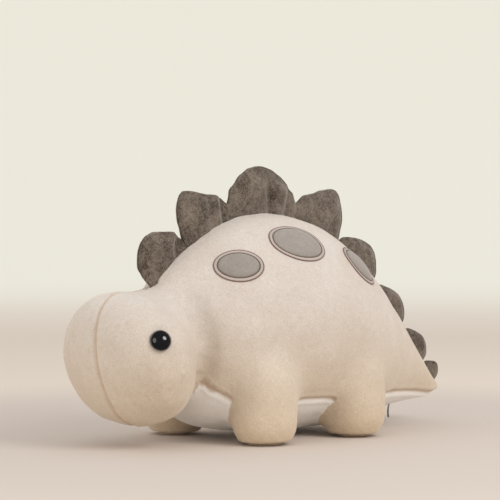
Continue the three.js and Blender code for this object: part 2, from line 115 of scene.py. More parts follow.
def smoothBy(piece, times, factor=0.5):
    modifier = piece.modifiers.new("Smooth", "SMOOTH")
    modifier.iterations = times
    modifier.factor = factor
    applyAll(piece)


def smoothStep(values, low, high):
    share = np.clip((values - low) / (high - low), 0, 1)
    return share * share * (3 - 2 * share)


def treeOf(names):
    points = []
    faces = []
    for name in names:
        mesh = nodes[name].data
        start = len(points)
        points += [v.co.copy() for v in mesh.vertices]
        faces += [tuple(start + i for i in p.vertices) for p in mesh.polygons]
    return BVHTree.FromPolygons(points, faces)


def distancesTo(tree, points):
    return np.array([tree.find_nearest(Vector(p))[3] for p in points])


# copies of CAD solids as one merged mesh, grown outwards
def copyOfNodes(name, wanted, grow):
    bpy.ops.object.select_all(action="DESELECT")
    copies = []
    for node in wanted:
        copy = bpy.data.objects.new(name, nodes[node].data.copy())
        bpy.context.collection.objects.link(copy)
        copy.select_set(True)
        copies.append(copy)
    bpy.context.view_layer.objects.active = copies[0]
    if len(copies) > 1:
        bpy.ops.object.join()
    piece = bpy.context.view_layer.objects.active
    piece.name = name
    piece.data.materials.clear()
    bpy.ops.object.mode_set(mode="EDIT")
    bpy.ops.mesh.select_all(action="SELECT")
    bpy.ops.mesh.remove_doubles(threshold=1e-5)
    bpy.ops.transform.shrink_fatten(value=grow)
    bpy.ops.object.mode_set(mode="OBJECT")
    return piece


def voxelRemesh(piece, size):
    selectOnly(piece)
    piece.data.remesh_voxel_size = size
    bpy.ops.object.voxel_remesh()


# drops the shells that the joined solids leave inside the outer one
def keepOuterShell(piece):
    selectOnly(piece)
    top = int(pointsOf(piece)[:, 2].argmax())
    bpy.ops.object.mode_set(mode="EDIT")
    bpy.ops.mesh.select_mode(type="VERT")
    bpy.ops.mesh.select_all(action="DESELECT")
    bpy.ops.object.mode_set(mode="OBJECT")
    piece.data.vertices[top].select = True
    bpy.ops.object.mode_set(mode="EDIT")
    bpy.ops.mesh.select_linked()
    bpy.ops.mesh.select_all(action="INVERT")
    bpy.ops.mesh.delete(type="VERT")
    bpy.ops.object.mode_set(mode="OBJECT")


def weighPoints(piece, name, weights):
    group = piece.vertex_groups.new(name=name)
    for index in np.flatnonzero(weights > 0.01):
        group.add([int(index)], float(weights[index]), "REPLACE")


clothValues = {"quality": 5, "mass": 0.3, "stretch": 12, "shear": 6, "bend": 0.4, "frames": 20}


# blows the cloth up from inside, and keeps each point within its cap
def puff(piece, pressure, cap, pinned=None):
    values = clothValues
    before = pointsOf(piece)
    cloth = piece.modifiers.new("Cloth", "CLOTH")
    settings = cloth.settings
    settings.quality = values["quality"]
    settings.mass = values["mass"]
    settings.tension_stiffness = values["stretch"]
    settings.compression_stiffness = values["stretch"]
    settings.shear_stiffness = values["shear"]
    settings.bending_stiffness = values["bend"]
    settings.use_pressure = True
    settings.uniform_pressure_force = pressure
    settings.effector_weights.gravity = 0
    if pinned is not None:
        weighPoints(piece, "pinned", pinned)
        settings.vertex_group_mass = "pinned"
    cloth.point_cache.frame_start = 1
    cloth.point_cache.frame_end = values["frames"]
    for step in range(1, values["frames"] + 1):
        bpy.context.scene.frame_set(step)
    applyAll(piece)
    bpy.context.scene.frame_set(1)
    moved = pointsOf(piece) - before
    length = np.linalg.norm(moved, axis=1)
    share = np.minimum(1, cap / np.maximum(length, 1e-9))
    setPoints(piece, before + moved * share[:, None])
    piece.vertex_groups.clear()


cameraSetup = {
    "azimuth": 48,
    "distance": 1.1,
    "height": 0.1137,
    "lens": 116.5,
    "sensor": 36,
    "farthest": 20,
    "aim": (-0.0061, -0.0214, 0.1253),
}


def addCamera(setup):
    turn = math.radians(setup["azimuth"])
    soleBoxes = [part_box(n) for n in nodes if n.startswith("leg_") and n.endswith("_sole")]
    feet = sum(((low + high) / 2 for low, high in soleBoxes), Vector()) / len(soleBoxes)
    away = setup["distance"]
    place = Vector((feet.x + math.sin(turn) * away, feet.y - math.cos(turn) * away, setup["height"]))
    bpy.ops.object.camera_add(location=place)
    camera = bpy.context.object
    camera.data.lens = setup["lens"]
    camera.data.sensor_width = setup["sensor"]
    camera.data.clip_end = setup["farthest"]
    camera.rotation_euler = (Vector(setup["aim"]) - place).to_track_quat("-Z", "Y").to_euler()
    bpy.context.scene.camera = camera


addCamera(cameraSetup)
print("stage: camera placed")


def newMaterial(name, colour, roughness):
    material = bpy.data.materials.new(name)
    material.use_nodes = True
    shader = material.node_tree.nodes["Principled BSDF"]
    shader.inputs["Base Color"].default_value = (*colour, 1)
    shader.inputs["Roughness"].default_value = roughness
    return material, material.node_tree, shader


# one group for every plush cloth: lay of the pile, mottling and fibre height
def makeNapGroup():
    group = bpy.data.node_groups.new("nap", "ShaderNodeTree")
    face = group.interface
    for name, kind, value in (
        ("Dark", "NodeSocketColor", (0.5, 0.5, 0.5, 1)),
        ("Light", "NodeSocketColor", (0.8, 0.8, 0.8, 1)),
        ("Patch Scale", "NodeSocketFloat", 55.0),
        ("Fibre Scale", "NodeSocketFloat", 1400.0),
        ("Patches", "NodeSocketFloat", 0.5),
        ("Strokes", "NodeSocketFloat", 0.5),
        ("Fibres", "NodeSocketFloat", 0.5),
    ):
        socket = face.new_socket(name=name, in_out="INPUT", socket_type=kind)
        socket.default_value = value
    face.new_socket(name="Color", in_out="OUTPUT", socket_type="NodeSocketColor")
    face.new_socket(name="Height", in_out="OUTPUT", socket_type="NodeSocketFloat")
    new = group.nodes.new
    link = group.links.new
    start = new("NodeGroupInput")
    end = new("NodeGroupOutput")
    place = new("ShaderNodeTexCoord")

    def noiseAt(scale, detail, distortion=0.0):
        texture = new("ShaderNodeTexNoise")
        texture.inputs["Detail"].default_value = detail
        texture.inputs["Distortion"].default_value = distortion
        link(place.outputs["Object"], texture.inputs["Vector"])
        if isinstance(scale, str):
            link(start.outputs[scale], texture.inputs["Scale"])
        else:
            texture.inputs["Scale"].default_value = scale
        return texture.outputs["Fac"]

    patches = noiseAt("Patch Scale", 3.0, 0.6)
    strokes = noiseAt(240.0, 2.0, 1.2)
    fibres = noiseAt("Fibre Scale", 1.0)

    def maths(operation, a, b):
        node = new("ShaderNodeMath")
        node.operation = operation
        for socket, value in zip(node.inputs, (a, b)):
            if isinstance(value, (int, float)):
                socket.default_value = value
            else:
                link(value, socket)
        return node.outputs[0]

    # patches where the pile is stroked one way or the other
    spread = 0.5
    for field, amount in ((patches, "Patches"), (strokes, "Strokes"), (fibres, "Fibres")):
        centred = maths("MULTIPLY", maths("SUBTRACT", field, 0.5), start.outputs[amount])
        spread = maths("ADD", centred, spread)
    mix = new("ShaderNodeMix")
    mix.data_type = "RGBA"
    mix.clamp_factor = True
    link(spread, mix.inputs["Factor"])
    link(start.outputs["Dark"], mix.inputs[6])
    link(start.outputs["Light"], mix.inputs[7])
    link(mix.outputs[2], end.inputs["Color"])
    height = maths("ADD", maths("MULTIPLY", fibres, 0.7), maths("MULTIPLY", strokes, 0.5))
    link(height, end.inputs["Height"])
    return group


napGroup = makeNapGroup()


def addNap(tree, dark, light, values):
    nap = tree.nodes.new("ShaderNodeGroup")
    nap.node_tree = napGroup
    nap.inputs["Dark"].default_value = (*dark, 1)
    nap.inputs["Light"].default_value = (*light, 1)
    nap.inputs["Patch Scale"].default_value = values["patch"]
    nap.inputs["Fibre Scale"].default_value = values["fibre"]
    for name, amount in zip(("Patches", "Strokes", "Fibres"), values["amounts"]):
        nap.inputs[name].default_value = amount
    return nap


def addBump(tree, shader, height, strength, distance):
    bump = tree.nodes.new("ShaderNodeBump")
    bump.inputs["Strength"].default_value = strength
    bump.inputs["Distance"].default_value = distance
    tree.links.new(height, bump.inputs["Height"])
    tree.links.new(bump.outputs["Normal"], shader.inputs["Normal"])


def addMix(tree, factor, a, b):
    mix = tree.nodes.new("ShaderNodeMix")
    mix.data_type = "RGBA"
    tree.links.new(factor, mix.inputs["Factor"])
    for socket, value in ((mix.inputs[6], a), (mix.inputs[7], b)):
        if isinstance(value, tuple):
            socket.default_value = (*value, 1)
        else:
            tree.links.new(value, socket)
    return mix.outputs[2]


def readAttribute(tree, name):
    node = tree.nodes.new("ShaderNodeAttribute")
    node.attribute_name = name
    return node.outputs["Fac"]


def setSheen(shader, values):
    shader.inputs["Sheen Weight"].default_value = values["sheen"]
    shader.inputs["Sheen Tint"].default_value = (*values["sheenTint"], 1)
    shader.inputs["Sheen Roughness"].default_value = values["sheenRoughness"]
    shader.inputs["Specular IOR Level"].default_value = 0.15


# colour, pile and sheen, the same for every plush cloth
def finishPlush(tree, shader, colour, nap, values):
    tree.links.new(colour, shader.inputs["Base Color"])
    addBump(tree, shader, nap.outputs["Height"], values["bump"], values["bumpDepth"])
    setSheen(shader, values)


bodyCloth = {
    "tanDark": (0.565, 0.489, 0.420),
    "tanLight": (0.715, 0.672, 0.635),
    # painted warm bounce light on the lower body, and the height where it fades out
    "paintedBounceTint": (1.0, 0.885, 0.69),
    "paintedBounceTop": 0.09,
    "creamDark": (0.86, 0.83, 0.78),
    "creamLight": (0.94, 0.93, 0.90),
    # colour of the painted shade in the seam grooves
    "paintedSeamShade": (0.50, 0.33, 0.20),
    "patch": 22,
    "fibre": 1300,
    "amounts": (0.9, 0.7, 1.3),
    "roughness": 0.9,
    "bump": 0.45,
    "bumpDepth": 0.0006,
    "sheen": 0.5,
    "sheenTint": (1.0, 0.93, 0.84),
    "sheenRoughness": 0.45,
}


def makeBodyCloth(values):
    material, tree, shader = newMaterial("warmPlush", values["tanLight"], values["roughness"])
    tan = addNap(tree, values["tanDark"], values["tanLight"], values)
    cream = addNap(tree, values["creamDark"], values["creamLight"], values)
    # painted light: warm light bounced up from the floor is painted into the cloth, warmer towards the feet
    place = tree.nodes.new("ShaderNodeTexCoord")
    split = tree.nodes.new("ShaderNodeSeparateXYZ")
    rise = tree.nodes.new("ShaderNodeMapRange")
    rise.inputs["From Max"].default_value = values["paintedBounceTop"]
    tree.links.new(place.outputs["Object"], split.inputs["Vector"])
    tree.links.new(split.outputs["Z"], rise.inputs["Value"])
    tint = addMix(tree, rise.outputs["Result"], values["paintedBounceTint"], (1.0, 1.0, 1.0))
    warm = tree.nodes.new("ShaderNodeMix")
    warm.data_type = "RGBA"
    warm.blend_type = "MULTIPLY"
    warm.inputs["Factor"].default_value = 1.0
    tree.links.new(tan.outputs["Color"], warm.inputs[6])
    tree.links.new(tint, warm.inputs[7])
    colour = addMix(tree, readAttribute(tree, "cream"), warm.outputs[2], cream.outputs["Color"])
    # painted shade: the seam grooves are painted a darker, warmer tan
    colour = addMix(tree, readAttribute(tree, "paintedSeamShade"), colour, values["paintedSeamShade"])
    finishPlush(tree, shader, colour, tan, values)
    return material


plateCloth = {
    "dark": (0.055, 0.040, 0.030),
    "light": (0.225, 0.186, 0.150),
    # colour of the painted shade in each plate's middle seam
    "paintedSeamShade": (0.050, 0.036, 0.026),
    "patch": 60,
    "fibre": 1200,
    "amounts": (1.5, 1.3, 1.6),
    "roughness": 0.88,
    "bump": 0.7,
    "bumpDepth": 0.0007,
    "sheen": 0.7,
    "sheenTint": (0.92, 0.88, 0.84),
    "sheenRoughness": 0.4,
}


def makePlateCloth(values):
    material, tree, shader = newMaterial("taupePlush", values["light"], values["roughness"])
    nap = addNap(tree, values["dark"], values["light"], values)
    # painted shade: the seam down the middle of each plate is painted darker
    colour = addMix(tree, readAttribute(tree, "paintedSeamShade"), nap.outputs["Color"], values["paintedSeamShade"])
    finishPlush(tree, shader, colour, nap, values)
    return material


spotCloth = {
    "dark": (0.262, 0.230, 0.208),
    "light": (0.365, 0.330, 0.303),
    "patch": 60,
    "fibre": 1600,
    "amounts": (0.9, 0.8, 1.5),
    "roughness": 0.86,
    "bump": 0.3,
    "bumpDepth": 0.0005,
    "sheen": 0.5,
    "sheenTint": (0.95, 0.93, 0.92),
    "sheenRoughness": 0.45,
}


def makeSpotCloth(values):
    material, tree, shader = newMaterial("greyPlush", values["light"], values["roughness"])
    nap = addNap(tree, values["dark"], values["light"], values)
    finishPlush(tree, shader, nap.outputs["Color"], nap, values)
    return material


# dark and light thread, and how many stitches go round
threadValues = {
    "outer": ((0.17, 0.10, 0.085), (0.30, 0.20, 0.175), 210),
    "band": ((0.50, 0.42, 0.385), (0.66, 0.58, 0.545), 190),
    "inner": ((0.12, 0.095, 0.055), (0.24, 0.20, 0.13), 170),
    "roughness": 0.5,
    "waveScale": 0.3183,
    "distortion": 0.4,
    "bump": 0.6,
    "bumpDepth": 0.0003,
    "sheen": 0.3,
    "sheenTint": (1.0, 0.95, 0.92),
    "sheenRoughness": 0.3,
}


# embroidery: fine ridges across the band, counted round its own UV map
def makeThread(name, ring, values):
    dark, light, count = values[ring]
    material, tree, shader = newMaterial(name, light, values["roughness"])
    place = tree.nodes.new("ShaderNodeUVMap")
    stretch = tree.nodes.new("ShaderNodeMapping")
    stretch.inputs["Scale"].default_value = (count, 1.0, 1.0)
    wave = tree.nodes.new("ShaderNodeTexWave")
    wave.bands_direction = "X"
    wave.inputs["Scale"].default_value = values["waveScale"]
    wave.inputs["Distortion"].default_value = values["distortion"]
    tree.links.new(place.outputs["UV"], stretch.inputs["Vector"])
    tree.links.new(stretch.outputs["Vector"], wave.inputs["Vector"])
    colour = addMix(tree, wave.outputs["Fac"], dark, light)
    tree.links.new(colour, shader.inputs["Base Color"])
    addBump(tree, shader, wave.outputs["Fac"], values["bump"], values["bumpDepth"])
    setSheen(shader, values)
    return material


eyePlastic = {
    "colour": (0.006, 0.006, 0.008),
    "roughness": 0.06,
    "hazeScale": 420,
    "hazeRoughness": (0.035, 0.10),
    "coat": 1.0,
    "coatRoughness": 0.09,
}


def makeEyePlastic(values):
    material, tree, shader = newMaterial("blackBead", values["colour"], values["roughness"])
    place = tree.nodes.new("ShaderNodeTexCoord")
    haze = tree.nodes.new("ShaderNodeTexNoise")
    haze.inputs["Scale"].default_value = values["hazeScale"]
    haze.inputs["Detail"].default_value = 3
    span = tree.nodes.new("ShaderNodeMapRange")
    span.inputs["To Min"].default_value, span.inputs["To Max"].default_value = values["hazeRoughness"]
    tree.links.new(place.outputs["Object"], haze.inputs["Vector"])
    tree.links.new(haze.outputs["Fac"], span.inputs["Value"])
    tree.links.new(span.outputs["Result"], shader.inputs["Roughness"])
    shader.inputs["Coat Weight"].default_value = values["coat"]
    shader.inputs["Coat Roughness"].default_value = values["coatRoughness"]
    return material


washerPlastic = {
    "colour": (0.78, 0.78, 0.75),
    "dark": (0.72, 0.72, 0.69),
    "light": (0.84, 0.84, 0.81),
    "roughness": 0.4,
    "grain": 600,
    "bump": 0.1,
    "bumpDepth": 0.0002,
}


def makeWasherPlastic(values):
    material, tree, shader = newMaterial("whiteWasher", values["colour"], values["roughness"])
    place = tree.nodes.new("ShaderNodeTexCoord")
    grain = tree.nodes.new("ShaderNodeTexNoise")
    grain.inputs["Scale"].default_value = values["grain"]
    tree.links.new(place.outputs["Object"], grain.inputs["Vector"])
    colour = addMix(tree, grain.outputs["Fac"], values["dark"], values["light"])
    tree.links.new(colour, shader.inputs["Base Color"])
    addBump(tree, shader, grain.outputs["Fac"], values["bump"], values["bumpDepth"])
    return material


ribbonCloth = {
    "colour": (0.10, 0.095, 0.09),
    "dark": (0.07, 0.066, 0.062),
    "light": (0.16, 0.152, 0.145),
    "roughness": 0.6,
    "ribs": 18,
    "distortion": 0.3,
    "bump": 0.4,
    "bumpDepth": 0.0002,
    "sheen": 0.2,
    "sheenTint": (1, 1, 1),
    "sheenRoughness": 0.45,
}


def makeRibbon(values):
    material, tree, shader = newMaterial("greyRibbon", values["colour"], values["roughness"])
    place = tree.nodes.new("ShaderNodeUVMap")
    across = tree.nodes.new("ShaderNodeTexWave")
    across.bands_direction = "Y"
    across.inputs["Scale"].default_value = values["ribs"]
    across.inputs["Distortion"].default_value = values["distortion"]
    tree.links.new(place.outputs["UV"], across.inputs["Vector"])
    colour = addMix(tree, across.outputs["Fac"], values["dark"], values["light"])
    tree.links.new(colour, shader.inputs["Base Color"])
    addBump(tree, shader, across.outputs["Fac"], values["bump"], values["bumpDepth"])
    setSheen(shader, values)
    return material


bodyMaterial = makeBodyCloth(bodyCloth)
plateMaterial = makePlateCloth(plateCloth)
spotMaterial = makeSpotCloth(spotCloth)
outerThread = makeThread("mauveThread", "outer", threadValues)
bandThread = makeThread("roseThread", "band", threadValues)
innerThread = makeThread("oliveThread", "inner", threadValues)
eyeMaterial = makeEyePlastic(eyePlastic)
washerMaterial = makeWasherPlastic(washerPlastic)
ribbonMaterial = makeRibbon(ribbonCloth)
print("stage: materials made")


skinValues = {
    "grow": 0.0026,
    "voxel": 0.004,
    "smooth": 7,
    "smoothAfter": 3,
    "pressure": 4.0,
    "cap": 0.0035,
    "foldSlack": 0.0004,
    "foldReach": (0.062, 0.085),
    "foldCap": 0.006,
    "foldShare": 0.9,
    "cheekDepth": 0.0048,
    "cheekSteep": 0.0028,
    "cheekGentle": 0.0110,
    "cheekFade": (0.008, 0.022),
    "cheekSide": (0.016, 0.034),
    "hipReach": (0.026, 0.048),
    "hipHeight": (0.022, 0.040),
    "hipTimes": 30,
    "seamDepth": 0.0011,
    "seamWidth": 0.0011,
    "ridgeHeight": 0.0004,
    "ridgePlace": 3,  # in seam widths
    "ridgeWidth": 1.3,
    "seamShade": 0.55,
    "lumpScale": 28,
    "lumpHeight": 0.0007,
    "lowest": 0.0002,
    "creamEdge": (-0.0004, 0.0006),
    "neckSlope": (0, -0.954, -0.300),
    "neckRear": 0.031,
    "neckMiddle": 0.019,
    "neckFront": 0.010,
    "tailStart": -0.016,
    "tailEnd": 0.014,
    "capReach": 0.042,
    "hipTop": -0.004,
    "hipBottom": 0.028,
    "fill": 0.85,
}
legNames = ["front_left", "front_right", "rear_left", "rear_right"]
stuffed = ["torso_stuffing", "neck_stuffing", "tail_stuffing", "head_stuffing"]
stuffed += ["eye_washer_left", "eye_washer_right"]
stuffed += [f"leg_{leg}_stuffing" for leg in legNames]


# draws the cloth back in where the smoothing filled the fold between head and body
def tighten(piece, values):
    points = pointsOf(piece)
    extra = distancesTo(treeOf(stuffed), points) - values["grow"] - values["foldSlack"]
    away = np.linalg.norm(points - np.array(joints["neck_turn"]["pos_m"]), axis=1)
    near = 1 - smoothStep(away, *values["foldReach"])
    shift = np.clip(extra, 0, values["foldCap"]) * values["foldShare"] * near
    setPoints(piece, points - normalsOf(piece) * shift[:, None])


# lets the cloth run straight from the flank into the leg, over the hip
def easeHips(piece, values):
    points = pointsOf(piece)
    weight = np.zeros(len(points))
    for leg in legNames:
        hip = np.array(joints["hip_" + leg]["pos_m"])
        away = np.linalg.norm(points - hip, axis=1)
        weight = np.maximum(weight, 1 - smoothStep(away, *values["hipReach"]))
    weight *= smoothStep(points[:, 2], *values["hipHeight"])
    weighPoints(piece, "hips", weight)
    modifier = piece.modifiers.new("Smooth", "SMOOTH")
    modifier.iterations = values["hipTimes"]
    modifier.factor = 0.5
    modifier.vertex_group = "hips"
    applyAll(piece)
    piece.vertex_groups.clear()


def makeSkin(values):
    skin = copyOfNodes("skin", stuffed, values["grow"])
    voxelRemesh(skin, values["voxel"])
    keepOuterShell(skin)
    smoothBy(skin, values["smooth"])
    tighten(skin, values)
    easeHips(skin, values)
    puff(skin, values["pressure"], values["cap"])
    smoothBy(skin, values["smoothAfter"])
    subdivide(skin, 1)
    return skin


# sinks the cloth behind the cheeks, steeply beside the head and gently beside the body
def digCheeks(piece, values):
    points = pointsOf(piece)
    toHead = distancesTo(treeOf(["head_stuffing"]), points)
    bodyStuffing = [name for name in stuffed if name != "head_stuffing" and "eye" not in name]
    toBody = distancesTo(treeOf(bodyStuffing), points)
    gap = toHead - toBody
    width = np.where(gap < 0, values["cheekSteep"], values["cheekGentle"])
    depth = np.exp(-((gap / width) ** 2)) * (1 - smoothStep(toHead, *values["cheekFade"]))
    depth *= smoothStep(np.abs(points[:, 0]), *values["cheekSide"])
    setPoints(piece, points - normalsOf(piece) * (depth * values["cheekDepth"])[:, None])


skin = makeSkin(skinValues)
digCheeks(skin, skinValues)
print("stage: skin puffed,", len(skin.data.vertices), "points")


def cutAt(piece, place, direction):
    selectOnly(piece)
    bpy.ops.object.mode_set(mode="EDIT")
    bpy.ops.mesh.select_all(action="SELECT")
    bpy.ops.mesh.bisect(plane_co=place, plane_no=direction)
    bpy.ops.object.mode_set(mode="OBJECT")


neckPivot = Vector(joints["neck_turn"]["pos_m"])
tailPivot = Vector(joints["tail_swing"]["pos_m"])
neckSlope = Vector(skinValues["neckSlope"]).normalized()
neckPlaces = {
    key: neckPivot - neckSlope * skinValues[key] for key in ("neckRear", "neckMiddle", "neckFront")
}
tailDirection = Vector((0, 1, 0))
tailPlace = tailPivot + tailDirection * skinValues["tailStart"]


def cutSkin(piece):
    for place in neckPlaces.values():
        cutAt(piece, place, neckSlope)
    cutAt(piece, tailPlace, tailDirection)


subdivide(skin, 1)
cutSkin(skin)
print("stage: skin cut,", len(skin.data.vertices), "points")

panels = {
    "left": ["torso_left_panel", "tail_left_panel"],
    "right": ["torso_right_panel", "tail_right_panel"],
    "under": ["belly_panel", "tail_underside"],
    "faceLeft": ["head_left_panel"],
    "faceRight": ["head_right_panel"],
}
for leg in legNames:
    panels["sleeve_" + leg] = [f"leg_{leg}_sleeve"]
    panels["sole_" + leg] = [f"leg_{leg}_sole"]
# panels sewn edge to edge; the other joins are folds without a seam
sewn = [("left", "right"), ("left", "under"), ("right", "under"), ("faceLeft", "faceRight")]
sewn += [("sleeve_" + leg, "sole_" + leg) for leg in legNames]


def sculptSkin(piece, values):
    points = pointsOf(piece)
    near = {name: distancesTo(treeOf(members), points) for name, members in panels.items()}
    names = list(near)
    table = np.array([near[name] for name in names])
    order = np.argsort(table, axis=0)
    first, second = order[0], order[1]
    closest, further = (np.take_along_axis(table, order[k : k + 1], 0)[0] for k in (0, 1))
    gap = further - closest
    isSewn = np.zeros(len(points), bool)
    for a, b in sewn:
        i, j = names.index(a), names.index(b)
        isSewn |= ((first == i) & (second == j)) | ((first == j) & (second == i))
    wide = values["seamWidth"]
    groove = np.where(isSewn, np.exp(-((gap / wide) ** 2)), 0)
    beside = (gap - values["ridgePlace"] * wide) / (values["ridgeWidth"] * wide)
    ridge = np.where(isSewn, np.exp(-(beside**2)), 0)
    lumps = np.array([noise.noise(Vector(p) * values["lumpScale"]) for p in points])
    shift = -values["seamDepth"] * groove + values["ridgeHeight"] * ridge + values["lumpHeight"] * lumps
    points = points + normalsOf(piece) * shift[:, None]
    points[:, 2] = np.maximum(points[:, 2], values["lowest"])
    setPoints(piece, points)
    others = np.min(np.delete(table, names.index("under"), axis=0), axis=0)
    setAttribute(piece, "cream", smoothStep(others - near["under"], *values["creamEdge"]))
    # mask of the painted shade along the sewn seams
    setAttribute(piece, "paintedSeamShade", np.clip(groove * values["seamShade"], 0, 1))
    return names, first


panelNames, nearestPanel = sculptSkin(skin, skinValues)
print("stage: seams sunk")

regions = ["torso", "neckRear", "neckFront", "head", "tail"] + ["leg_" + leg for leg in legNames]


def sortFaces(piece):
    mesh = piece.data
    centres = np.empty(len(mesh.polygons) * 3)
    mesh.polygons.foreach_get("center", centres)
    centres = centres.reshape(-1, 3)
    region = np.zeros(len(centres), int)
    legOf = {}
    for leg in legNames:
        for part in ("sleeve_", "sole_"):
            legOf[panelNames.index(part + leg)] = regions.index("leg_" + leg)
    pointLeg = np.array([legOf.get(n, 0) for n in range(len(panelNames))])[nearestPanel]
    for face in mesh.polygons:
        region[face.index] = np.bincount(pointLeg[list(face.vertices)]).argmax()
    along = (centres - np.array(neckPivot)) @ np.array(neckSlope)
    legFirst = min(regions.index("leg_" + leg) for leg in legNames)
    notLeg = region < legFirst
    region[notLeg & (along > -skinValues["neckRear"])] = regions.index("neckRear")
    region[notLeg & (along > -skinValues["neckMiddle"])] = regions.index("neckFront")
    region[notLeg & (along > -skinValues["neckFront"])] = regions.index("head")
    region[centres[:, 1] > tailPlace.y] = regions.index("tail")
    return region


# shared shading, so that the cuts between pieces don't show at rest
def keepShading(piece):
    layer = piece.data.attributes.new("wholeNormal", "FLOAT_VECTOR", "POINT")
    layer.data.foreach_set("vector", normalsOf(piece).astype(np.float32).ravel())


def restoreShading(piece):
    layer = piece.data.attributes["wholeNormal"]
    flat = np.empty(len(piece.data.vertices) * 3, np.float32)
    layer.data.foreach_get("vector", flat)
    piece.data.normals_split_custom_set_from_vertices(flat.reshape(-1, 3).tolist())
    piece.data.attributes.remove(piece.data.attributes["wholeNormal"])


def splitSkin(piece):
    region = sortFaces(piece)
    selectOnly(piece)
    bpy.ops.object.shade_smooth()
    keepShading(piece)
    piece.data.materials.clear()
    for name in regions:
        piece.data.materials.append(bpy.data.materials.new("sort_" + name))
    piece.data.polygons.foreach_set("material_index", region)
    bpy.ops.object.mode_set(mode="EDIT")
    bpy.ops.mesh.select_all(action="SELECT")
    bpy.ops.mesh.separate(type="MATERIAL")
    bpy.ops.object.mode_set(mode="OBJECT")
    found = {}
    for part in list(bpy.context.selected_objects):
        index = part.data.polygons[0].material_index
        label = part.data.materials[index].name if len(part.data.materials) > index else ""
        label = label.removeprefix("sort_")
        found[label] = part
        part.name = label + "_skin"
        part.data.name = part.name
        part.data.materials.clear()
        part.data.materials.append(bodyMaterial)
        part.data.polygons.foreach_set("material_index", np.zeros(len(part.data.polygons), int))
    for name in regions:
        bpy.data.materials.remove(bpy.data.materials["sort_" + name])
    return found


# closes the open end of a leg, and the hole it leaves in the torso, with a fan inside the body
def capNear(piece, centre, reach):
    selectOnly(piece)
    bpy.ops.object.mode_set(mode="EDIT")
    bpy.ops.mesh.select_mode(type="EDGE")
    bpy.ops.mesh.select_all(action="DESELECT")
    bpy.ops.mesh.select_non_manifold()
    bpy.ops.object.mode_set(mode="OBJECT")
    mesh = piece.data
    for edge in mesh.edges:
        if edge.select:
            start, end = (mesh.vertices[i].co for i in edge.vertices)
            edge.select = ((start + end) / 2 - centre).length < reach
    chosen = {i for e in mesh.edges if e.select for i in e.vertices}
    for vertex in mesh.vertices:
        vertex.select = vertex.index in chosen
    for face in mesh.polygons:
        face.select = False
    bpy.ops.object.mode_set(mode="EDIT")
    if chosen:
        bpy.ops.mesh.extrude_edges_move()
        bpy.ops.mesh.merge(type="CENTER")
    bpy.ops.object.mode_set(mode="OBJECT")


parts = splitSkin(skin)
print("stage: skin split,", {name: len(part.data.polygons) for name, part in parts.items()})
hips = {leg: Vector(joints["hip_" + leg]["pos_m"]) for leg in legNames}
for leg in legNames:
    capNear(parts["torso"], hips[leg], skinValues["capReach"])
    capNear(parts["leg_" + leg], hips[leg], skinValues["capReach"])
for part in parts.values():
    restoreShading(part)

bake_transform(parts["neckRear"])
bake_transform(parts["neckFront"])
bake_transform(parts["tail"])
for leg in legNames:
    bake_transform(parts["leg_" + leg])
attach(parts["torso"], "torso")
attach(parts["head"], "head")
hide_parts("torso_left_panel", "torso_right_panel", "belly_panel", "torso_stuffing")
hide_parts("neck_stuffing")
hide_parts("head_left_panel", "head_right_panel", "head_stuffing")
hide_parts("tail_left_panel", "tail_right_panel", "tail_underside", "tail_stuffing")
for leg in legNames:
    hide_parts(f"leg_{leg}_sleeve", f"leg_{leg}_sole", f"leg_{leg}_stuffing")
print("stage: skins ride")


plateValues = {
    "grow": 0.0017,
    "voxel": 0.0021,
    "smooth": 4,
    "pressure": 3.0,
    "cap": 0.0022,
    "root": 0.006,
    "rootFrom": 0.005,
    "seamDepth": 0.0009,
    "seamWidth": 0.0008,
    "foldDepth": 0.0030,
    "foldWidth": 0.0030,
    "wider": 0.075,
    "footWider": 0.07,
    "ridgeHeight": 0.0004,
    "ridgePlace": 2.4,  # in seam widths
    "seamShade": 0.8,
    "lumpScale": 90,
    "lumpHeight": 0.0005,
    "pinHigh": 0.003,
    "pinThick": 0.0012,
    "pinEdge": 0.8,
    "fill": 0.8,
}
# folds per plate: where each starts along the foot and which way it runs, as shares and degrees
plateFolds = [
    [(0.35, 35, 1.0), (-0.5, 100, 0.4)],
    [(0.55, 60, 1.2), (0.1, 75, 0.5), (-0.4, 95, 0.4)],
    [(0.15, 100, 0.8), (0.6, 65, 0.9), (-0.6, 110, 0.5)],
    [(-0.3, 100, 0.7), (0.4, 80, 0.5)],
    [(0.3, 60, 0.8)],
    [(0.1, 80, 0.6)],
    [(0.1, 85, 0.5)],
    [(0.0, 85, 0.4)],
]


def plateFrame(number):
    joint = joints[f"plate_{number}_flop"]
    foot = Vector(joint["pos_m"])
    along = Vector(joint["axis"]).normalized()
    up = Vector((0, -along.z, along.y))
    return foot, along, up


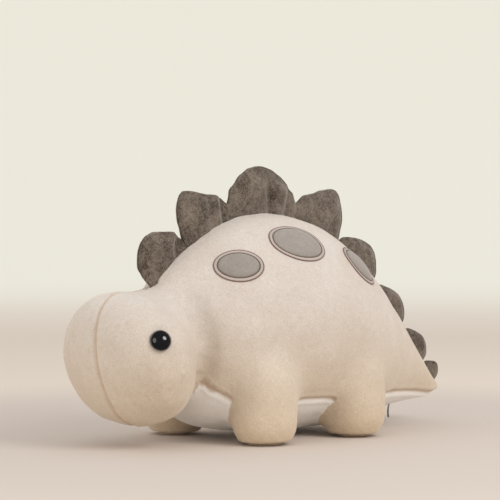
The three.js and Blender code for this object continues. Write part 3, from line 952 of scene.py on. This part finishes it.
def sculptPlate(piece, number, values):
    foot, along, up = plateFrame(number)
    points = pointsOf(piece)
    local = points - np.array(foot)
    a = local @ np.array(along)
    h = local @ np.array(up)
    x = local[:, 0].copy()
    half = max(abs(a.min()), abs(a.max()))
    tall = h.max()
    normals = normalsOf(piece)
    wide = values["seamWidth"]
    facing = np.abs(normals[:, 0])
    rim = np.exp(-((x / wide) ** 2)) * (facing < 0.75) * smoothStep(h, -0.002, 0.002)
    ridge = np.exp(-(((np.abs(x) - values["ridgePlace"] * wide) / wide) ** 2)) * smoothStep(h, 0.0, 0.003)
    shift = -values["seamDepth"] * rim + values["ridgeHeight"] * ridge * (facing < 0.85)
    for start, degrees, weight in plateFolds[number - 1]:
        direction = (math.cos(math.radians(degrees)), math.sin(math.radians(degrees)))
        past = a - start * half
        across = past * direction[1] - h * direction[0]
        run = past * direction[0] + h * direction[1]
        fade = 1 - smoothStep(run, 0.35 * tall, 0.85 * tall)
        line = np.exp(-((across / values["foldWidth"]) ** 2)) * fade
        shift -= values["foldDepth"] * weight * line * facing
    own = Vector((number, 0, 0))
    lumps = np.array([noise.noise(Vector(p) * values["lumpScale"] + own) for p in points])
    shift += values["lumpHeight"] * lumps
    points = points + normals * shift[:, None]
    wider = values["wider"] * (1 - smoothStep(h, 0.4 * tall, 0.85 * tall))
    wider += values["footWider"] * (1 - smoothStep(h, 0, 0.3 * tall))
    points += np.outer(a * wider, np.array(along))
    sink = 1 - smoothStep(h, -0.001, values["rootFrom"])
    points -= np.outer(sink * values["root"], np.array(up))
    setPoints(piece, points)
    # mask of the painted shade along the plate's middle seam
    setAttribute(piece, "paintedSeamShade", np.clip(rim * values["seamShade"], 0, 1))


def makePlates(values):
    pillows = []
    for number in range(1, len(plateFolds) + 1):
        pillow = copyOfNodes(f"plate_{number}", [f"plate_{number}_fill"], values["grow"])
        voxelRemesh(pillow, values["voxel"])
        smoothBy(pillow, values["smooth"])
        pillows.append(pillow)
    selectOnly(*pillows)
    bpy.ops.object.join()
    row = bpy.context.object
    pinned = np.zeros(len(row.data.vertices))
    points = pointsOf(row)
    for number in range(1, len(plateFolds) + 1):
        foot, along, up = plateFrame(number)
        local = points - np.array(foot)
        low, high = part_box(f"plate_{number}_fill")
        within = np.abs(local @ np.array(along)) < (high - low).length / 2
        pinned[within & (np.abs(local @ np.array(up)) < values["pinHigh"])] = 1
    pinned = np.maximum(pinned, (np.abs(points[:, 0]) < values["pinThick"]) * values["pinEdge"])
    puff(row, values["pressure"], values["cap"], pinned)
    subdivide(row, 1)
    selectOnly(row)
    bpy.ops.object.mode_set(mode="EDIT")
    bpy.ops.mesh.select_all(action="SELECT")
    bpy.ops.mesh.separate(type="LOOSE")
    bpy.ops.object.mode_set(mode="OBJECT")
    found = {}
    for pillow in list(bpy.context.selected_objects):
        centre = Vector(pointsOf(pillow).mean(0))
        number = min(
            range(1, len(plateFolds) + 1),
            key=lambda k: (centre - sum(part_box(f"plate_{k}_fill"), Vector()) / 2).length,
        )
        found[number] = pillow
    return found


plates = makePlates(plateValues)
for number, plate in sorted(plates.items()):
    plate.name = f"plate_{number}"
    plate.data.name = plate.name
    subdivide(plate, 1)
    sculptPlate(plate, number, plateValues)
    selectOnly(plate)
    bpy.ops.object.shade_smooth()
    plate.data.materials.clear()
    plate.data.materials.append(plateMaterial)
    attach(plate, f"plate_{number}")
    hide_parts(f"plate_{number}_cover", f"plate_{number}_fill")
print("stage: plates made,", len(plates))


spotValues = {
    "puff": 0.0022,
    "edge": 0.0003,
    "bandWide": 0.0011,
    "bandHigh": 0.0006,
    "bandOut": 0.0015,
    "cord": 0.00042,
    "outerOut": 0.0027,
    "innerOut": 0.0003,
    "underside": 0.0006,
    "reach": 0.05,
    "fill": 0.3,
}


# centre, long, short and outward directions with half sizes of a CAD patch
def patchFrame(name):
    points = pointsOf(nodes[name])
    centre = points.mean(0)
    values, vectors = np.linalg.eigh(np.cov((points - centre).T))
    outward = Vector(vectors[:, 0])
    if outward.x * centre[0] < 0:
        outward.negate()
    long = Vector(vectors[:, 2]).normalized()
    short = outward.cross(long).normalized()
    rel = points - centre
    halfLong = np.ptp(rel @ np.array(long)) / 2
    halfShort = np.ptp(rel @ np.array(short)) / 2
    run = rel @ np.array(long)
    middle = Vector(centre) + long * float(run.max() + run.min()) / 2
    return middle, long, short, outward, halfLong, halfShort


# lays a flat-modelled piece on the side, its own height becoming height above the cloth
def layOnSide(piece, place, tree):
    middle, long, short, outward = place
    points = pointsOf(piece)
    laid = np.empty_like(points)
    reach = spotValues["reach"]
    for index, (u, v, w) in enumerate(points):
        start = middle + long * u + short * v + outward * reach
        hit, normal = tree.ray_cast(start, -outward, 2 * reach)[:2]
        if hit is None:
            hit, normal = tree.find_nearest(middle + long * u + short * v)[:2]
        laid[index] = hit + normal * w
    setPoints(piece, laid)


# the piece's surface without its seams and folds
def smoothTree(piece):
    soft = piece.copy()
    soft.data = piece.data.copy()
    bpy.context.collection.objects.link(soft)
    smoothBy(soft, 12)
    tree = BVHTree.FromObject(soft, bpy.context.evaluated_depsgraph_get())
    bpy.data.objects.remove(soft)
    return tree


def makeSpot(name, tree, values):
    middle, long, short, outward, halfLong, halfShort = patchFrame("spot_" + name)
    place = (middle, long, short, outward)
    bpy.ops.object.select_all(action="DESELECT")
    bpy.ops.mesh.primitive_uv_sphere_add(segments=72, ring_count=36, radius=1)
    spot = bpy.context.object
    points = pointsOf(spot)
    across = np.hypot(points[:, 0], points[:, 1])
    # a full, flat-topped cushion with a tucked edge
    points[:, 2] = np.sign(points[:, 2]) * np.sqrt(np.clip(1 - across**3, 0, 1))
    crown = points[:, 2] * values["puff"] + values["edge"]
    points[:, 2] = np.where(points[:, 2] > 0, crown, points[:, 2] * values["underside"])
    points[:, 0] *= halfLong
    points[:, 1] *= halfShort
    setPoints(spot, points)
    layOnSide(spot, place, tree)
    spot.name = f"spot_{name}_pad"
    spot.data.materials.append(spotMaterial)
    rings = []
    cord = values["cord"]
    # how far out, how wide, how high, how far above the cloth, and the thread of each ring
    for out, wide, high, lift, material in (
        (values["bandOut"], values["bandWide"], values["bandHigh"], 0.0002, bandThread),
        (values["outerOut"], cord, cord, 0.0003, outerThread),
        (values["innerOut"], cord, cord * 1.3, 0.0004, innerThread),
    ):
        bpy.ops.object.select_all(action="DESELECT")
        bpy.ops.mesh.primitive_torus_add(
            major_segments=144, minor_segments=10, major_radius=1, minor_radius=0.1, generate_uvs=True
        )
        ring = bpy.context.object
        points = pointsOf(ring)
        turn = np.arctan2(points[:, 1], points[:, 0])
        beside = (np.hypot(points[:, 0], points[:, 1]) - 1) / 0.1
        outline = np.stack([np.cos(turn) * (halfLong + out), np.sin(turn) * (halfShort + out)], axis=1)
        sideways = np.stack([np.cos(turn) / (halfLong + out), np.sin(turn) / (halfShort + out)], axis=1)
        sideways /= np.linalg.norm(sideways, axis=1)[:, None]
        flat = outline + sideways * (beside * wide)[:, None]
        setPoints(ring, np.column_stack([flat, points[:, 2] / 0.1 * high + lift]))
        layOnSide(ring, place, tree)
        ring.data.materials.append(material)
        rings.append(ring)
    selectOnly(*rings)
    bpy.ops.object.join()
    border = bpy.context.object
    border.name = f"spot_border_{name}_stitch"
    for piece in (spot, border):
        piece.data.name = piece.name
        selectOnly(piece)
        bpy.ops.object.mode_set(mode="EDIT")
        bpy.ops.mesh.select_all(action="SELECT")
        bpy.ops.mesh.normals_make_consistent(inside=False)
        bpy.ops.object.mode_set(mode="OBJECT")
        bpy.ops.object.shade_smooth()
        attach(piece, "torso")
    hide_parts("spot_" + name)
    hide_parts("spot_border_" + name)


sideTree = smoothTree(parts["torso"])
for place in ("front", "middle", "rear"):
    for side in ("left", "right"):
        makeSpot(f"{place}_{side}", sideTree, spotValues)
print("stage: spots laid")


eyeValues = {"postClear": 0.0030, "postRadius": 0.002, "postDepth": 0.009, "back": 0.25}


def makeEye(side, values):
    node = nodes["eye_" + side]
    low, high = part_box("eye_washer_" + side)
    washer = (low + high) / 2
    points = pointsOf(node)
    low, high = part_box("eye_" + side)
    axis = ((low + high) / 2 - washer).normalized()
    # the dome's top and the washer's middle give the axis
    for _ in range(6):
        rel = points - np.array(washer)
        along = rel @ np.array(axis)
        radial = np.linalg.norm(rel - np.outer(along, np.array(axis)), axis=1)
        top = Vector(points[along.argmax()])
        axis = (top - washer).normalized()
    base = along[radial > values["postClear"]].min()
    radius = radial.max()
    high = along.max() - base
    centre = washer + axis * float(base)
    bpy.ops.object.select_all(action="DESELECT")
    bpy.ops.mesh.primitive_uv_sphere_add(segments=64, ring_count=40, radius=1)
    bead = bpy.context.object
    shape = pointsOf(bead)
    shape[:, 2] = np.where(shape[:, 2] > 0, shape[:, 2] * high, shape[:, 2] * values["back"] * high)
    shape[:, :2] *= radius
    setPoints(bead, shape)
    bpy.ops.object.select_all(action="DESELECT")
    depth = values["postDepth"]
    bpy.ops.mesh.primitive_cylinder_add(
        vertices=32, radius=values["postRadius"], depth=depth, location=(0, 0, -depth / 2)
    )
    post = bpy.context.object
    bpy.ops.object.transform_apply(location=True, rotation=True, scale=True)
    selectOnly(bead, post)
    bpy.ops.object.join()
    turned = axis.to_track_quat("Z", "Y").to_matrix().to_4x4()
    bead.data.transform(Matrix.Translation(centre) @ turned)
    bead.name = f"eye_{side}_bead"
    bead.data.name = bead.name
    selectOnly(bead)
    bpy.ops.object.shade_smooth()
    bead.data.materials.append(eyeMaterial)
    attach(bead, "head")
    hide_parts("eye_" + side)
    nodes["eye_washer_" + side].data.materials.clear()
    nodes["eye_washer_" + side].data.materials.append(washerMaterial)


for side in ("left", "right"):
    makeEye(side, eyeValues)
print("stage: eyes set")


tagValues = {
    "wide": 0.010,
    "long": 0.020,
    "apart": 0.0007,
    "cloth": 0.00022,
    "tucked": 0.0016,
    "rows": 28,
    "columns": 10,
}


def makeTag(values):
    hinge = Vector(joints["tag_flap"]["pos_m"])
    across = Vector(joints["tag_flap"]["axis"]).normalized()
    outward = across.cross(Vector((0, 0, 1))).normalized()
    bpy.ops.object.select_all(action="DESELECT")
    bpy.ops.mesh.primitive_grid_add(x_subdivisions=values["columns"], y_subdivisions=values["rows"], size=1)
    tag = bpy.context.object
    points = pointsOf(tag)
    bend = values["apart"] / 2
    straight = (values["long"] - math.pi * bend) / 2
    laid = np.empty_like(points)
    for index, (u, v, _) in enumerate(points):
        run = (v + 0.5) * values["long"]
        if run < straight:
            down, out = run, -bend
        elif run > values["long"] - straight:
            down, out = values["long"] - run, bend
        else:
            turn = (run - straight) / bend
            down, out = straight + bend * math.sin(turn), -bend * math.cos(turn)
        sway = 0.0008 * math.sin(down * 260) + 0.0004 * math.sin(u * 5)
        place = hinge + Vector((0, 0, values["tucked"] - down))
        laid[index] = place + across * (u * values["wide"]) + outward * (out + sway)
    setPoints(tag, laid)
    solid = tag.modifiers.new("Solidify", "SOLIDIFY")
    solid.thickness = values["cloth"]
    solid.offset = 0
    applyAll(tag)
    subdivide(tag, 1)
    bpy.ops.object.shade_smooth()
    tag.name = "tag_ribbon"
    tag.data.name = tag.name
    tag.data.materials.append(ribbonMaterial)
    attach(tag, "tag")
    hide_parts("tag")


makeTag(tagValues)
print("stage: tag folded")


stageValues = {
    "floorRadius": 1.5,
    "sweepRadius": 1.1,
    "wallHeight": 2.6,
    # one even backdrop, painted darker round the toy on the floor and lighter up the wall
    "floorColour": (0.68, 0.61, 0.555),
    "farColour": (0.80, 0.72, 0.635),
    "farFrom": 0.26,
    "farTo": 0.55,
    "wallFadeTo": 0.09,
    "wallColour": (0.935, 0.94, 0.845),
    "sweepSteps": 24,
}


# one colour turning into another by height, or by distance from the middle: painted light and shade on the
# floor and backdrop
def stageMaterial(name, low, high, from_, to, byHeight):
    material, tree, shader = newMaterial(name, low, 0.8)
    shader.inputs["Specular IOR Level"].default_value = 0.05
    place = tree.nodes.new("ShaderNodeTexCoord")
    grain = tree.nodes.new("ShaderNodeTexNoise")
    grain.inputs["Scale"].default_value = 2.5
    rise = tree.nodes.new("ShaderNodeMapRange")
    rise.inputs["From Min"].default_value = from_
    rise.inputs["From Max"].default_value = to
    rise.interpolation_type = "SMOOTHSTEP"
    tree.links.new(place.outputs["Object"], grain.inputs["Vector"])
    if byHeight:
        split = tree.nodes.new("ShaderNodeSeparateXYZ")
        tree.links.new(place.outputs["Object"], split.inputs["Vector"])
        tree.links.new(split.outputs["Z"], rise.inputs["Value"])
    else:
        away = tree.nodes.new("ShaderNodeVectorMath")
        away.operation = "LENGTH"
        tree.links.new(place.outputs["Object"], away.inputs[0])
        tree.links.new(away.outputs["Value"], rise.inputs["Value"])
    base = addMix(tree, grain.outputs["Fac"], tuple(c * 0.985 for c in low), low)
    colour = addMix(tree, rise.outputs["Result"], base, high)
    tree.links.new(colour, shader.inputs["Base Color"])
    return material


def makeStage(values):
    bpy.ops.object.select_all(action="DESELECT")
    bpy.ops.mesh.primitive_circle_add(vertices=128, radius=values["floorRadius"], fill_type="NGON")
    floor = bpy.context.object
    floor.name = "floor"
    nearColour, farColour, wallColour = values["floorColour"], values["farColour"], values["wallColour"]
    floorReach = (values["farFrom"], values["farTo"])
    # painted shade: the floor is painted darker near the middle, round the toy, and lighter farther out
    floorMaterial = stageMaterial("paleFloor", nearColour, farColour, *floorReach, False)
    floor.data.materials.append(floorMaterial)
    bpy.ops.object.select_all(action="DESELECT")
    bpy.ops.mesh.primitive_circle_add(vertices=128, radius=values["floorRadius"], fill_type="NOTHING")
    wall = bpy.context.object
    wall.name = "backdrop"
    bpy.ops.object.mode_set(mode="EDIT")
    bpy.ops.mesh.select_all(action="SELECT")
    radius = values["floorRadius"]
    height = 0.0
    steps = values["sweepSteps"]
    for step in range(1, steps + 2):
        turn = math.radians(90) * min(step, steps) / steps
        wider = values["floorRadius"] + values["sweepRadius"] * math.sin(turn)
        higher = values["sweepRadius"] * (1 - math.cos(turn))
        if step > steps:
            higher += values["wallHeight"]
        bpy.ops.mesh.extrude_edges_move(TRANSFORM_OT_translate={"value": (0, 0, higher - height)})
        bpy.ops.transform.resize(value=(wider / radius, wider / radius, 1))
        radius, height = wider, higher
    bpy.ops.object.mode_set(mode="OBJECT")
    bpy.ops.object.shade_smooth()
    # painted light: the backdrop is painted lighter and cooler as it rises
    wallMaterial = stageMaterial("paleBackdrop", farColour, wallColour, 0, values["wallFadeTo"], True)
    wall.data.materials.append(wallMaterial)
    # the wall is only looked at: light from the room passes it, and shiny eyes don't mirror the floor
    floor.visible_glossy = False
    wall.visible_diffuse = False
    wall.visible_glossy = False
    wall.visible_shadow = False


def addLight(name, place, aim, size, power, colour):
    bpy.ops.object.light_add(type="AREA", location=place)
    lamp = bpy.context.object
    lamp.name = name
    lamp.data.shape = "DISK"
    lamp.data.size = size
    lamp.data.energy = power
    lamp.data.color = colour
    lamp.rotation_euler = (Vector(aim) - Vector(place)).to_track_quat("-Z", "Y").to_euler()


lightValues = {
    "room": ((1.0, 0.975, 0.95), 0.83, 0.10),
    "key": ((1.30, 0.20, 1.0), (0, 0, 0.08), 0.85, 9, (1.0, 0.975, 0.95)),
    "fill": ((-0.05, -1.6, 0.45), (0, -0.05, 0.06), 1.2, 4.5, (1.0, 0.95, 0.88)),
}


# even light from the room, which glossy things see darker
def setWorld(colour, strength, glossyStrength):
    world = bpy.data.worlds.new("studio")
    bpy.context.scene.world = world
    world.use_nodes = True
    tree = world.node_tree
    back = tree.nodes["Background"]
    back.inputs["Color"].default_value = (*colour, 1)
    path = tree.nodes.new("ShaderNodeLightPath")
    level = tree.nodes.new("ShaderNodeMapRange")
    level.inputs["To Min"].default_value = strength
    level.inputs["To Max"].default_value = glossyStrength
    tree.links.new(path.outputs["Is Glossy Ray"], level.inputs["Value"])
    tree.links.new(level.outputs["Result"], back.inputs["Strength"])


makeStage(stageValues)
setWorld(*lightValues["room"])
for name in ("key", "fill"):
    addLight(name, *lightValues[name])
bpy.context.scene.view_settings.view_transform = "Standard"
print("stage: lit")
